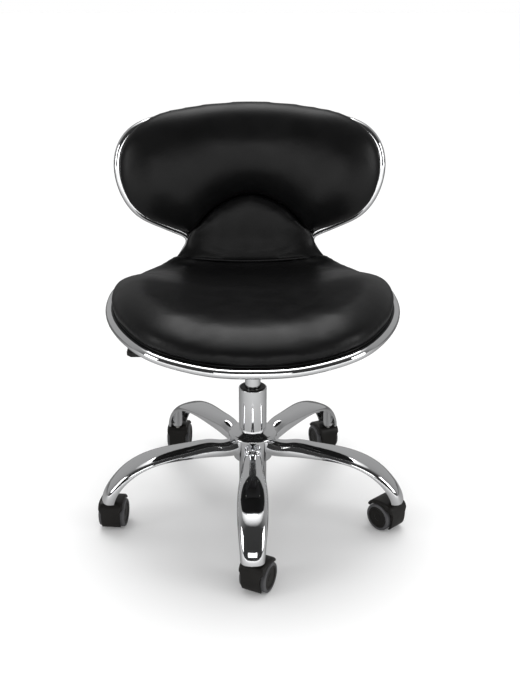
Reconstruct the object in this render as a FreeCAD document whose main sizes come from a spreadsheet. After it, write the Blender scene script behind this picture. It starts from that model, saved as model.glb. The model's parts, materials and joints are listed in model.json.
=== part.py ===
import FreeCAD, Part
import math
import os
import Sketcher

# Rolling stylist stool, in millimetres: +Z up, origin on the column axis at floor level,
# the sitter faces -Y.  The base is turned a little against the seat.

DIMENSIONS = {
    # seat and back shell: a bent ribbon, dished across its width
    "seat_level": 370, "shell_thick": 12, "dish_radius": 980, "ribbon_half": 285,
    "spine_front": -260, "bend_start": 95, "bend_radius": 110, "recline": 5,
    "spine_rise": 270, "junction": 440, "far": 320,
    "trim_proud": 8, "trim_half": 8, "trim_lip": 12, "soft_gap": 0.3,
    "seat_pad": 54, "back_pad": 56, "waist_pad": 30, "pad_inset": 14, "seam_angle": 52,
    "cover_thick": 2.2, "cover_inset": 14,
    "arch_half": 104, "arch_low": 478, "arch_top": 548, "arch_gap": 1.5,
    # seat plate, bracket, lever
    "plate_top": 361, "plate_thick": 3, "plate_width": 150, "plate_depth": 190,
    "plate_corner": 12,
    "bolt_across": 60, "bolt_along": 75, "bolt_radius": 3, "bolt_hole": 3.3,
    "bracket_inside": 12.5, "bracket_wall": 2.5, "bracket_front": 26, "bracket_rear": -52,
    "bracket_floor": 321.5, "cone_bottom": 285, "cone_low": 19, "cone_high": 22,
    "pivot_across": -36, "pivot_level": 333, "pivot_radius": 2.5,
    "lever_radius": 4, "lever_tip": 6, "lever_bend": 30, "boss_radius": 6,
    "boss_half": 12, "paddle_thick": 10, "paddle_round": 2.5,
    # gas lift
    "tube_radius": 25, "tube_inside": 23.2, "tube_bottom": 55, "tube_top": 245,
    "tube_floor": 3, "lift_radius": 14, "lift_inside": 12.5, "lift_bottom": 105,
    "lift_top": 318, "taper_start": 283, "taper_radius": 13.5, "valve_floor": 285,
    "lift_floor": 8, "rod_radius": 5, "rod_end_radius": 4, "rod_bottom": 49, "rod_step": 66,
    "piston_bottom": 198, "piston_top": 212, "piston_radius": 12.4, "pin_radius": 4,
    "pin_bottom": 300, "pin_top": 328.5, "fit": 0.05, "bushing_bottom": 200,
    "bushing_proud": 1.5, "race_outer": 13, "race_thick": 1.9, "ball_radius": 2,
    "ball_circle": 9, "clip_top": 54.8, "clip_thick": 1.4, "clip_radius": 8,
    # base
    "base_turn": -1.5, "hub_radius": 35, "hub_bottom": 107, "hub_top": 151,
    "cap_radius": 44, "cap_edge": 4, "cap_rise": 12, "leg_wall": 2,
    "stem_circle": 266, "socket_radius": 10, "socket_bore": 5.5, "socket_bottom": 61,
    "socket_top": 100, "socket_outer_top": 69, "socket_slant": 58, "stem_radius": 5,
    "stem_bottom": 44, "stem_top": 78, "ring_bottom": 64, "ring_top": 72, "ring_slit": 1.2,
    # casters
    "wheel_radius": 25, "wheel_core": 20, "trail": 20, "web_half": 4.2, "wheel_gap": 0.4,
    "wheel_side": 22.6, "wheel_boss": 8, "wheel_dish": 1, "tread_inner": 8.6,
    "tread_side": 23, "hood_half": 21.5, "hood_clear": 1.5, "skirt_half": 16.5,
    "skirt_level": 45, "axle_radius": 3, "axle_half": 19,
}

doc = FreeCAD.newDocument("stylist_stool")
sheet = doc.addObject("Spreadsheet::Sheet", "dims")
for row, (alias, value) in enumerate(DIMENSIONS.items(), start=1):
    sheet.set(f"A{row}", alias)
    sheet.set(f"B{row}", str(value))
    sheet.setAlias(f"B{row}", alias)
workings = doc.addObject("Spreadsheet::Sheet", "workings")
doc.recompute()

V = FreeCAD.Vector
X_AXIS = V(1, 0, 0)
Z_AXIS = V(0, 0, 1)
SUBPARTS = []


def size(alias):
    """The value of one cell of the sheet."""
    return float(getattr(sheet, alias))


def value_of(expression):
    """The value of an expression over the sheet's cells, such as 'dims.trail + 2'."""
    workings.set("A1", f"={expression}")
    workings.recompute()
    return float(workings.get("A1"))


def spin(degrees):
    return FreeCAD.Rotation(Z_AXIS, degrees)


def finish(subpart, label, placement=None):
    """Names a sub-part and puts it in its place."""
    subpart.Label = label
    if placement is not None:
        subpart.Placement = placement
    SUBPARTS.append(subpart)
    return subpart


# ---------------------------------------------------------------- sketches and features

def new_body(name):
    return doc.addObject("PartDesign::Body", name)


def new_sketch(body, plane, name, offset="0"):
    """A sketch on one of the body's origin planes, shifted along that plane's normal."""
    support = [f for f in body.Origin.OriginFeatures if f.Role == plane][0]
    sketch = body.newObject("Sketcher::SketchObject", name)
    sketch.AttachmentSupport = (support, [""])
    sketch.MapMode = "FlatFace"
    sketch.setExpression("AttachmentOffset.Base.z", offset)
    doc.recompute()
    return sketch


def add_polygon(sketch, corners):
    """A closed outline whose corners are pairs of expressions, each tied to its cells."""
    points = [V(value_of(a), value_of(b), 0) for a, b in corners]
    first = sketch.GeometryCount
    count = len(points)
    for i in range(count):
        sketch.addGeometry(Part.LineSegment(points[i], points[(i + 1) % count]), False)
    for i in range(count):
        following = first + (i + 1) % count
        sketch.addConstraint(Sketcher.Constraint("Coincident", first + i, 2, following, 1))
    for i, (across, along) in enumerate(corners):
        for kind, text, number in (("DistanceX", across, points[i].x),
                                   ("DistanceY", along, points[i].y)):
            mark = sketch.addConstraint(
                Sketcher.Constraint(kind, -1, 1, first + i, 1, number))
            sketch.setExpression(f"Constraints[{mark}]", str(text))


def add_circle(sketch, across, along, radius):
    """A circle whose centre and radius are expressions over the sheet."""
    centre = V(value_of(across), value_of(along), 0)
    mark = sketch.addGeometry(Part.Circle(centre, Z_AXIS, value_of(radius)), False)
    for kind, text, number in (("DistanceX", across, centre.x),
                               ("DistanceY", along, centre.y)):
        tie = sketch.addConstraint(Sketcher.Constraint(kind, -1, 1, mark, 3, number))
        sketch.setExpression(f"Constraints[{tie}]", str(text))
    tie = sketch.addConstraint(Sketcher.Constraint("Radius", mark, value_of(radius)))
    sketch.setExpression(f"Constraints[{tie}]", str(radius))


def smooth(points):
    """A curve through points."""
    curve = Part.BSplineCurve()
    curve.interpolate([V(a, b, 0) for a, b in points])
    return curve


def add_chain(sketch, *runs):
    """A closed outline of runs: each a curve or the corners of straight lines."""
    first = sketch.GeometryCount
    for run in runs:
        if isinstance(run, Part.BSplineCurve):
            sketch.addGeometry(run, False)
            continue
        for (a, b), (c, d) in zip(run, run[1:]):
            sketch.addGeometry(Part.LineSegment(V(a, b, 0), V(c, d, 0)), False)
    count = sketch.GeometryCount - first
    for i in range(count):
        following = first + (i + 1) % count
        sketch.addConstraint(Sketcher.Constraint("Coincident", first + i, 2, following, 1))


def pad(body, sketch, length, both_ways=False):
    feature = body.newObject("PartDesign::Pad", "Pad")
    feature.Profile = sketch
    feature.setExpression("Length", length)
    feature.Midplane = both_ways
    doc.recompute()
    return feature


def pocket(body, sketch, length=None, both_ways=False, reverse=False):
    """Cuts a sketch out of the body, all the way through unless a length is given."""
    before = body.Shape
    feature = body.newObject("PartDesign::Pocket", "Pocket")
    feature.Profile = sketch
    if length is None:
        feature.Type = 1
    else:
        feature.setExpression("Length", length)
    feature.Midplane = both_ways
    feature.Reversed = reverse
    doc.recompute()
    changed = len(body.Shape.Faces) != len(before.Faces)
    if not (changed or body.Shape.Volume < before.Volume - 0.01):
        raise ValueError(f"{body.Name}: {sketch.Name} cuts nothing")
    return feature


def revolve(name, corners):
    """A body of revolution about Z; corners are (radius, height) expressions."""
    body = new_body(name)
    sketch = new_sketch(body, "XZ_Plane", f"{name}_profile")
    add_polygon(sketch, corners)
    feature = body.newObject("PartDesign::Revolution", "Revolution")
    feature.Profile = sketch
    feature.ReferenceAxis = (sketch, ["V_Axis"])
    feature.Angle = 360
    doc.recompute()
    return body


def fillet(body, edges, radius):
    """Rounds the edges of the body for which edges(edge) holds, if any."""
    tip = body.Tip
    chosen = [f"Edge{i}" for i, edge in enumerate(tip.Shape.Edges, start=1) if edges(edge)]
    feature = body.newObject("PartDesign::Fillet", "Fillet")
    feature.Base = (tip, chosen)
    feature.setExpression("Radius", radius)
    doc.recompute()
    return feature


# ---------------------------------------------------------------- the bent ribbon

SEAT_LEVEL = size("seat_level")
DISH = size("dish_radius")
FAR = size("far")
RECLINE = math.radians(size("recline"))
BEND_RADIUS = size("bend_radius")
BEND_Y = size("bend_start")
BEND_Z = SEAT_LEVEL + BEND_RADIUS

# Outer edge of the trim, right half: (across, along) below the junction, seen from above,
# and (across, height) over it, seen from the front.  Both run on a little past the
# junction, which lies where the seat has drawn in and the waist begins.
SEAT_OUTLINE = ((0, -238), (57, -236), (113, -221), (166, -194), (207, -147), (235, -88),
                (249, -22), (251, 42), (243, 92), (222, 122), (194, 146), (168, 163),
                (148, 177), (136, 188), (130, 198), (128, 212))
BACK_OUTLINE = ((146, 425), (133.5, 440), (127, 450), (122, 461), (139, 474), (172, 489),
                (206, 508), (231, 538), (245, 575), (248, 606), (240, 642), (217, 671),
                (175, 689), (112, 698), (50, 702), (0, 703))
# The back pad stands a little higher than the shell in the middle.
BACK_PAD_OUTLINE = ((134, 484), (167, 500), (199, 518), (222, 545), (233, 578),
                    (235, 608), (227, 640), (204, 666), (164, 687), (108, 701), (50, 708),
                    (0, 710))


def inset(half, distance):
    """A half outline moved inwards, square to itself; both ends run square to the middle."""
    moved = []
    last = len(half) - 1
    for i, (a, b) in enumerate(half):
        if i == 0 or i == last:
            run = V(1, 0, 0) if a < 1 else V(0, 1, 0)
            if half[last][0] < 1 and i == last:
                run = V(-1, 0, 0)
        else:
            (c, d), (e, f) = half[i - 1], half[i + 1]
            run = V(e - c, f - d, 0).normalize()
        moved.append((a - run.y * distance, b + run.x * distance))
    return moved


def whole(half):
    """Both halves of an outline that starts or ends on the middle line, as one curve."""
    left = [(-a, b) for a, b in half if a > 0.01]
    if half[0][0] < 0.01:
        return left[::-1] + list(half)
    return list(half) + left[::-1]


def new_ribbon(name, low, high):
    """The ribbon between two heights above its middle surface, swept along the spine."""
    body = new_body(name)
    profile = new_sketch(body, "XZ_Plane", f"{name}_section", "-dims.spine_front")
    half = size("ribbon_half")
    centre = SEAT_LEVEL + DISH
    corners = []
    for rise in (low, high):
        radius = DISH - value_of(rise)
        swing = math.asin(half / radius)
        arc = Part.ArcOfCircle(Part.Circle(V(0, centre, 0), Z_AXIS, radius),
                               1.5 * math.pi - swing, 1.5 * math.pi + swing)
        mark = profile.addGeometry(arc, False)
        tie = profile.addConstraint(Sketcher.Constraint("Radius", mark, radius))
        profile.setExpression(f"Constraints[{tie}]", f"dims.dish_radius - ({rise})")
        tie = profile.addConstraint(
            Sketcher.Constraint("DistanceY", -1, 1, mark, 3, centre))
        profile.setExpression(f"Constraints[{tie}]", "dims.seat_level + dims.dish_radius")
        profile.addConstraint(Sketcher.Constraint("PointOnObject", mark, 3, -2))
        reach = radius * math.cos(swing)
        corners.append((V(-half, centre - reach, 0), V(half, centre - reach, 0)))
    for side in (0, 1):
        wall = Part.LineSegment(corners[0][side], corners[1][side])
        line = profile.addGeometry(wall, False)
        profile.addConstraint(Sketcher.Constraint("Coincident", line, 1, 0, side + 1))
        profile.addConstraint(Sketcher.Constraint("Coincident", line, 2, 1, side + 1))
        tie = profile.addConstraint(Sketcher.Constraint(
            "DistanceX", -1, 1, line, 1, half * (2 * side - 1)))
        profile.setExpression(f"Constraints[{tie}]", f"{2 * side - 1} * dims.ribbon_half")
        profile.addConstraint(Sketcher.Constraint("Vertical", line))

    spine = new_sketch(body, "YZ_Plane", f"{name}_spine")
    leave = V(BEND_Y + BEND_RADIUS * math.cos(RECLINE),
              BEND_Z - BEND_RADIUS * math.sin(RECLINE), 0)
    rise = size("spine_rise")
    top = leave + V(rise * math.sin(RECLINE), rise * math.cos(RECLINE), 0)
    start = V(BEND_Y, SEAT_LEVEL, 0)
    spine.addGeometry(Part.LineSegment(V(size("spine_front"), SEAT_LEVEL, 0), start), False)
    bend = Part.Circle(V(BEND_Y, BEND_Z, 0), Z_AXIS, BEND_RADIUS)
    spine.addGeometry(Part.ArcOfCircle(bend, 1.5 * math.pi, 2 * math.pi - RECLINE), False)
    spine.addGeometry(Part.LineSegment(leave, top), False)
    doc.recompute()
    sweep = body.newObject("PartDesign::AdditivePipe", "Sweep")
    sweep.Profile = profile
    sweep.Spine = (spine, ["Edge1", "Edge2", "Edge3"])
    doc.recompute()
    return body


def trim_outline(body, distance, parts=("seat", "back")):
    """Cuts the ribbon to the shell's outline, moved inwards by the given distance."""
    if "seat" in parts:
        level = "dims.junction" if "back" in parts else "dims.junction + 200"
        plan = new_sketch(body, "XY_Plane", f"{body.Name}_plan", level)
        seat = whole(inset(SEAT_OUTLINE, distance))
        side = seat[-1][0]
        add_chain(plan, smooth(seat),
                  [seat[-1], (side, FAR), (FAR, FAR), (FAR, -FAR), (-FAR, -FAR),
                   (-FAR, FAR), (-side, FAR), seat[0]])
        pocket(body, plan, "dims.junction + 300")
    if "back" in parts:
        front = new_sketch(body, "XZ_Plane", f"{body.Name}_front")
        back = whole(inset(BACK_OUTLINE, distance))
        low = back[0][1]
        add_chain(front, smooth(back), [back[-1], (-FAR, low), (-FAR, 3 * FAR),
                                        (FAR, 3 * FAR), (FAR, low), back[0]])
        pocket(body, front)
    return body


def cut_profile(body, name, plane, corners):
    """Cuts a polygon of plain points straight through the body."""
    sketch = new_sketch(body, plane, f"{body.Name}_{name}")
    add_chain(sketch, list(corners) + [corners[0]])
    return pocket(body, sketch, both_ways=True)


def seam_wedge(angle, beyond):
    """Everything past (or before) the plane across the bend at an angle from its foot."""
    swing = math.radians(angle)
    centre = (BEND_Y, BEND_Z)
    out = (BEND_Y + FAR * math.sin(swing), BEND_Z - FAR * math.cos(swing))
    if beyond:
        return [centre, out, (2 * FAR, out[1]), (2 * FAR, 3 * FAR), (BEND_Y, 3 * FAR)]
    return [centre, out, (out[0], -FAR), (-FAR, -FAR), (-FAR, 3 * FAR), (BEND_Y, 3 * FAR)]


def arch(gap):
    """The arch in the foot of the back pad, seen from the front."""
    low = size("arch_low")
    wide = size("arch_half") - gap
    tall = size("arch_top") - low - gap
    steps = [math.pi * i / 10 for i in range(11)]
    return [(wide * math.cos(a), low + tall * math.sin(a)) for a in steps]


def make_shell():
    body = new_ribbon("seat_back_shell", "-dims.shell_thick / 2", "dims.shell_thick / 2")
    trim_outline(body, size("trim_proud"))
    bolt_holes(body, "dims.seat_level + dims.shell_thick * 2")
    return finish(body, "seat_back_shell")


def bolt_holes(body, top):
    """Four clearance holes for the mounting bolts, cut downwards from a height."""
    sketch = new_sketch(body, "XY_Plane", f"{body.Name}_holes", top)
    for side in (-1, 1):
        for end in (-1, 1):
            add_circle(sketch, f"{side} * dims.bolt_across", f"{end} * dims.bolt_along",
                       "dims.bolt_hole")
    return pocket(body, sketch, "dims.shell_thick * 4")


def make_cover():
    body = new_ribbon("outer_cover", "-dims.shell_thick / 2 - dims.cover_thick",
                      "-dims.shell_thick / 2")
    trim_outline(body, size("cover_inset"))
    bolt_holes(body, "dims.seat_level + dims.shell_thick * 2")
    return finish(body, "outer_cover")


def make_seat_cushion():
    body = new_ribbon("seat_cushion", "dims.shell_thick / 2 + dims.soft_gap",
                      "dims.shell_thick / 2 + dims.seat_pad")
    cut_profile(body, "seam", "YZ_Plane", seam_wedge(size("seam_angle"), True))
    trim_outline(body, size("pad_inset"), ("seat",))
    return finish(body, "seat_cushion")


def make_waist_pad():
    body = new_ribbon("waist_pad", "dims.shell_thick / 2 + dims.soft_gap",
                      "dims.shell_thick / 2 + dims.waist_pad")
    trim_outline(body, size("pad_inset"))
    cut_profile(body, "seam", "YZ_Plane", seam_wedge(size("seam_angle") + 0.5, False))
    gap = size("arch_gap")
    rim = arch(gap)
    level = rim[0][1] - gap
    above = new_sketch(body, "XZ_Plane", "waist_pad_top")
    add_chain(above, smooth(rim), [rim[-1], (rim[-1][0], level), (-FAR, level),
                                   (-FAR, 3 * FAR), (FAR, 3 * FAR), (FAR, level),
                                   (rim[0][0], level), rim[0]])
    pocket(body, above)
    return finish(body, "waist_pad")


def make_back_cushion():
    """The back pad: set inside the trim at its foot, standing out over it higher up."""
    body = new_ribbon("back_cushion_blank", "dims.shell_thick / 2 + dims.soft_gap",
                      "dims.shell_thick / 2 + dims.back_pad")
    half = list(BACK_PAD_OUTLINE)
    low = size("arch_low")
    outline = whole([(size("arch_half") + 6, low)] + half)
    front = new_sketch(body, "XZ_Plane", "back_cushion_front")
    add_chain(front, smooth(outline), [outline[-1], (-FAR, low), (-FAR, 3 * FAR),
                                       (FAR, 3 * FAR), (FAR, low), outline[0]])
    pocket(body, front)
    foot = new_sketch(body, "XZ_Plane", "back_cushion_foot")
    rim = arch(0)
    add_chain(foot, smooth(rim), [rim[-1], (-FAR, low), (-FAR, 0), (FAR, 0), (FAR, low),
                                  rim[0]])
    pocket(body, foot, both_ways=True)

    layer = new_ribbon("rebate_layer", "0", "dims.trim_half + dims.soft_gap")
    island = new_ribbon("rebate_island", "-1", "dims.trim_half + 1")
    trim_outline(island, size("trim_lip") + size("soft_gap"), ("back",))
    rebate = doc.addObject("Part::Cut", "back_cushion_rebate")
    rebate.Base = layer
    rebate.Tool = island
    piece = doc.addObject("Part::Cut", "back_cushion")
    piece.Base = body
    piece.Tool = rebate
    doc.recompute()
    return finish(piece, "back_cushion")


def make_edge_trim():
    """A bead around the shell's edge, with a lip above and below it."""
    bead = new_ribbon("trim_bead", "-dims.trim_half", "dims.trim_half")
    trim_outline(bead, 0)
    groove = new_ribbon("trim_groove", "-dims.shell_thick / 2", "dims.shell_thick / 2")
    trim_outline(groove, size("trim_proud"))
    window = new_ribbon("trim_window", "-dims.trim_half - 1", "dims.trim_half + 1")
    trim_outline(window, size("trim_lip"))
    slotted = doc.addObject("Part::Cut", "trim_slotted")
    slotted.Base = bead
    slotted.Tool = groove
    piece = doc.addObject("Part::Cut", "edge_trim")
    piece.Base = slotted
    piece.Tool = window
    doc.recompute()
    return finish(piece, "edge_trim")


# ---------------------------------------------------------------- seat plate and lever

def make_seat_plate():
    body = new_body("seat_plate")
    outline = new_sketch(body, "XY_Plane", "seat_plate_outline",
                         "dims.plate_top - dims.plate_thick")
    across = "dims.plate_width / 2"
    along = "dims.plate_depth / 2"
    add_polygon(outline, [(f"-{across}", f"-{along}"), (across, f"-{along}"),
                          (across, along), (f"-{across}", along)])
    pad(body, outline, "dims.plate_thick")
    fillet(body, is_upright, "dims.plate_corner")
    bolt_holes(body, "dims.plate_top")
    return finish(body, "seat_plate")


def is_upright(edge):
    box = edge.BoundBox
    return box.ZLength > 1 and max(box.XLength, box.YLength) < 0.01


# The lever seen from above: its bends and its end, and half the paddle's outline
# (across, distance from the rod).
LEVER_ROUTE = ((-78, 0), (-150, -40), (-196, -45))
PADDLE_OUTLINE = ((-172, 6), (-180, 8), (-190, 15), (-207, 15), (-214, 7))


def make_bracket():
    """A channel under the plate: a floor with the pin's hole and two cheeks."""
    body = new_body("lever_bracket")
    section = new_sketch(body, "YZ_Plane", "lever_bracket_section", "dims.bracket_rear")
    inside = "dims.bracket_inside"
    outside = "(dims.bracket_inside + dims.bracket_wall)"
    floor = "dims.bracket_floor"
    deck = "dims.bracket_floor + dims.bracket_wall"
    top = "dims.plate_top - dims.plate_thick"
    add_polygon(section, [(f"-{outside}", floor), (outside, floor), (outside, top),
                          (inside, top), (inside, deck), (f"-{inside}", deck),
                          (f"-{inside}", top), (f"-{outside}", top)])
    pad(body, section, "dims.bracket_front - dims.bracket_rear")
    hole = new_sketch(body, "XY_Plane", "lever_bracket_hole", deck)
    add_circle(hole, "0", "0", "dims.pin_radius + 2")
    pocket(body, hole, "dims.bracket_wall * 2")
    pivot = new_sketch(body, "XZ_Plane", "lever_bracket_pivot")
    add_circle(pivot, "dims.pivot_across", "dims.pivot_level", "dims.pivot_radius + 0.02")
    pocket(body, pivot, None, both_ways=True)
    return finish(body, "lever_bracket")


def make_cone():
    low = "dims.cone_bottom"
    top = "dims.bracket_floor - 0.05"
    body = revolve("cone_socket", [
        ("dims.lift_radius + dims.fit", low), ("dims.cone_low", low), ("dims.cone_high", top),
        ("dims.taper_radius + dims.fit", top)])
    return finish(body, "cone_socket")


def make_pivot_pin():
    body = new_body("lever_pivot_pin")
    sketch = new_sketch(body, "XZ_Plane", "lever_pivot_pin_circle")
    add_circle(sketch, "dims.pivot_across", "dims.pivot_level", "dims.pivot_radius")
    pad(body, sketch, "2 * (dims.bracket_inside + dims.bracket_wall + 1.5)", both_ways=True)
    return finish(body, "lever_pivot_pin")


def make_lever_rod():
    """A bent rod through a pivot boss: straight over the pin, then out to the side."""
    body = new_body("lever_rod")
    route = new_sketch(body, "XY_Plane", "lever_rod_route", "dims.pivot_level")
    corners = [V(size("lever_tip"), 0, 0)] + [V(a, b, 0) for a, b in LEVER_ROUTE]
    path = tangent_path(corners, size("lever_bend"))
    for edge in path:
        route.addGeometry(edge, False)
    profile = new_sketch(body, "YZ_Plane", "lever_rod_section", "dims.lever_tip")
    add_circle(profile, "0", "dims.pivot_level", "dims.lever_radius")
    doc.recompute()
    sweep = body.newObject("PartDesign::AdditivePipe", "Sweep")
    sweep.Profile = profile
    sweep.Spine = (route, [f"Edge{i + 1}" for i in range(len(path))])
    doc.recompute()
    boss = new_sketch(body, "XZ_Plane", "lever_rod_boss")
    add_circle(boss, "dims.pivot_across", "dims.pivot_level", "dims.boss_radius")
    pad(body, boss, "2 * dims.boss_half", both_ways=True)
    bore = new_sketch(body, "XZ_Plane", "lever_rod_bore")
    add_circle(bore, "dims.pivot_across", "dims.pivot_level", "dims.pivot_radius + dims.fit")
    pocket(body, bore, None, both_ways=True)
    return finish(body, "lever_rod")


def tangent_path(points, radius):
    """Straight runs joined by tangent arcs."""
    edges = []
    start = points[0]
    for before, corner, after in zip(points, points[1:], points[2:]):
        into = (corner - before).normalize()
        out = (after - corner).normalize()
        half_turn = into.getAngle(out) / 2
        cut = radius * math.tan(half_turn)
        first = corner - into * cut
        last = corner + out * cut
        middle_way = (out - into).normalize()
        middle = corner + middle_way * (radius / math.cos(half_turn) - radius)
        edges.append(Part.LineSegment(start, first))
        edges.append(Part.Arc(first, middle, last))
        start = last
    edges.append(Part.LineSegment(start, points[-1]))
    return edges


def make_paddle():
    """The flat grip pushed over the end of the rod."""
    body = new_body("paddle_blank")
    sketch = new_sketch(body, "XY_Plane", "paddle_outline",
                        "dims.pivot_level - dims.paddle_thick / 2")
    middle = LEVER_ROUTE[-1][1]
    near = [(a, middle - b) for a, b in PADDLE_OUTLINE]
    far = [(a, middle + b) for a, b in reversed(PADDLE_OUTLINE)]
    outline = near + far
    add_chain(sketch, outline + [outline[0]])
    pad(body, sketch, "dims.paddle_thick")
    fillet(body, lambda e: e.BoundBox.ZLength < 0.01, "dims.paddle_round")
    piece = doc.addObject("Part::Cut", "lever_paddle")
    piece.Base = body
    piece.Tool = doc.getObject("lever_rod")
    doc.recompute()
    return finish(piece, "lever_paddle")


def make_bolts():
    """Four pan-head bolts up through the plate into the shell."""
    bolts = []
    head_top = size("plate_top") - size("plate_thick")
    radius = size("bolt_radius")
    shank = size("seat_level") + 2 - head_top
    for side in (-1, 1):
        for end in (-1, 1):
            spot = V(side * size("bolt_across"), end * size("bolt_along"), head_top)
            head = Part.makeCylinder(radius * 2, radius, spot - V(0, 0, radius))
            head = head.makeFillet(1, [e for e in head.Edges
                                       if e.BoundBox.ZMax < head_top - radius + 0.01])
            bolts.append(head.fuse(Part.makeCylinder(radius, shank, spot)).removeSplitter())
    piece = doc.addObject("Part::Feature", "mount_bolts")
    piece.Shape = Part.makeCompound(bolts)
    return finish(piece, "mount_bolts")


# ---------------------------------------------------------------- gas lift

def make_column_tube():
    body = revolve("column_tube", [
        ("dims.rod_end_radius + 0.1", "dims.tube_bottom"),
        ("dims.tube_radius", "dims.tube_bottom"), ("dims.tube_radius", "dims.tube_top"),
        ("dims.tube_inside", "dims.tube_top"),
        ("dims.tube_inside", "dims.tube_bottom + dims.tube_floor"),
        ("dims.rod_end_radius + 0.1", "dims.tube_bottom + dims.tube_floor")])
    top = size("tube_top")
    fillet(body, lambda e: e.BoundBox.ZMin > top - 0.01 and e.BoundBox.XMax > 24, "1")
    return finish(body, "column_tube")


def make_bushing():
    body = revolve("guide_bushing", [
        ("dims.lift_radius + dims.fit", "dims.bushing_bottom"),
        ("dims.tube_inside - dims.fit", "dims.bushing_bottom"),
        ("dims.tube_inside - dims.fit", "dims.tube_top"),
        ("dims.tube_inside - 1.5", "dims.tube_top + dims.bushing_proud"),
        ("dims.lift_radius + 2", "dims.tube_top + dims.bushing_proud"),
        ("dims.lift_radius + dims.fit", "dims.tube_top + dims.bushing_proud - 1.2")])
    return finish(body, "guide_bushing")


def make_pressure_cylinder():
    body = revolve("pressure_cylinder", [
        ("dims.rod_radius + dims.fit", "dims.lift_bottom"),
        ("dims.lift_radius", "dims.lift_bottom"),
        ("dims.lift_radius", "dims.taper_start"), ("dims.taper_radius", "dims.lift_top"),
        ("dims.pin_radius + dims.fit", "dims.lift_top"),
        ("dims.pin_radius + dims.fit", "dims.valve_floor"),
        ("dims.lift_inside", "dims.valve_floor"),
        ("dims.lift_inside", "dims.lift_bottom + dims.lift_floor"),
        ("dims.rod_radius + dims.fit", "dims.lift_bottom + dims.lift_floor")])
    return finish(body, "pressure_cylinder")


def make_piston_rod():
    groove = "dims.rod_end_radius - 0.8"
    body = revolve("piston_rod", [
        ("0", "dims.rod_bottom"), ("dims.rod_end_radius", "dims.rod_bottom"),
        ("dims.rod_end_radius", "dims.clip_top - dims.clip_thick - 0.1"),
        (groove, "dims.clip_top - dims.clip_thick - 0.1"), (groove, "dims.clip_top + 0.1"),
        ("dims.rod_end_radius", "dims.clip_top + 0.1"),
        ("dims.rod_end_radius", "dims.rod_step"), ("dims.rod_radius", "dims.rod_step"),
        ("dims.rod_radius", "dims.piston_bottom"),
        ("dims.piston_radius", "dims.piston_bottom"),
        ("dims.piston_radius", "dims.piston_top"), ("0", "dims.piston_top")])
    return finish(body, "piston_rod")


def make_release_pin():
    body = revolve("release_pin", [
        ("0", "dims.pin_bottom"), ("dims.pin_radius", "dims.pin_bottom"),
        ("dims.pin_radius", "dims.pin_top"), ("0", "dims.pin_top")])
    return finish(body, "release_pin")


def make_clip():
    """A spring clip in the rod's groove, open on one side."""
    body = revolve("rod_clip", [
        ("dims.rod_end_radius - 0.75", "dims.clip_top - dims.clip_thick"),
        ("dims.clip_radius", "dims.clip_top - dims.clip_thick"),
        ("dims.clip_radius", "dims.clip_top"),
        ("dims.rod_end_radius - 0.75", "dims.clip_top")])
    mouth = new_sketch(body, "XY_Plane", "rod_clip_mouth", "dims.clip_top + 1")
    add_polygon(mouth, [("0", "-2.6"), ("dims.clip_radius + 1", "-2.6"),
                        ("dims.clip_radius + 1", "2.6"), ("0", "2.6")])
    pocket(body, mouth, "dims.clip_thick + 3")
    return finish(body, "rod_clip")


def make_thrust_bearing():
    """Two races with a ring of balls between them, on the tube's floor."""
    low = size("tube_bottom") + size("tube_floor") + size("fit")
    thick = size("race_thick")
    ball = size("ball_radius")
    bore = size("rod_end_radius") + size("fit")
    solids = []
    for bottom in (low, low + thick + 2 * ball):
        outside = Part.makeCylinder(size("race_outer"), thick, V(0, 0, bottom))
        solids.append(outside.cut(Part.makeCylinder(bore, thick, V(0, 0, bottom))))
    for i in range(10):
        spot = spin(36 * i).multVec(V(size("ball_circle"), 0, low + thick + ball))
        solids.append(Part.makeSphere(ball - 0.02, spot))
    piece = doc.addObject("Part::Feature", "thrust_bearing")
    piece.Shape = Part.makeCompound(solids)
    return finish(piece, "thrust_bearing")


# ---------------------------------------------------------------- base

# A leg's cross-sections: crown (distance from the column axis, height), half width, depth.
LEG_SECTIONS = ((30, 151, 16, 27), (77, 149.5, 19, 24), (114, 149, 21, 20),
                (151, 146.5, 23.5, 15.5), (187, 141, 25.3, 12.5), (215, 132, 25.5, 12),
                (240, 118, 24.5, 13), (256, 104, 23, 14), (268, 90, 21.5, 15.5),
                (276, 76, 20.5, 16.5), (280, 62, 20, 17))


def make_hub():
    body = revolve("base_hub", [
        ("dims.tube_radius + dims.fit", "dims.hub_bottom"),
        ("dims.hub_radius", "dims.hub_bottom"),
        ("dims.hub_radius", "dims.hub_top"), ("dims.tube_radius + dims.fit", "dims.hub_top")])
    low = size("hub_bottom")
    fillet(body, lambda e: e.BoundBox.ZMax < low + 0.01 and e.BoundBox.XMax > 30, "2")
    return finish(body, "base_hub")


def make_cap_ring():
    """The domed ring that hides the joint of hub and legs."""
    bottom = "dims.hub_top + 0.5"
    top = "dims.hub_top + dims.cap_rise"
    body = revolve("hub_cap_ring", [
        ("dims.tube_radius + dims.fit", bottom), ("dims.cap_radius", bottom),
        ("dims.cap_radius", "dims.hub_top + dims.cap_edge"),
        ("dims.cap_radius - dims.cap_edge", "dims.hub_top + 7.5"),
        ("dims.tube_radius + dims.fit", top)])
    rim = size("cap_radius")
    level = size("hub_top") + 2
    fillet(body, lambda e: e.BoundBox.ZMin > level and e.BoundBox.XMax > rim - 5, "2.5")
    return finish(body, "hub_cap_ring")


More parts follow.
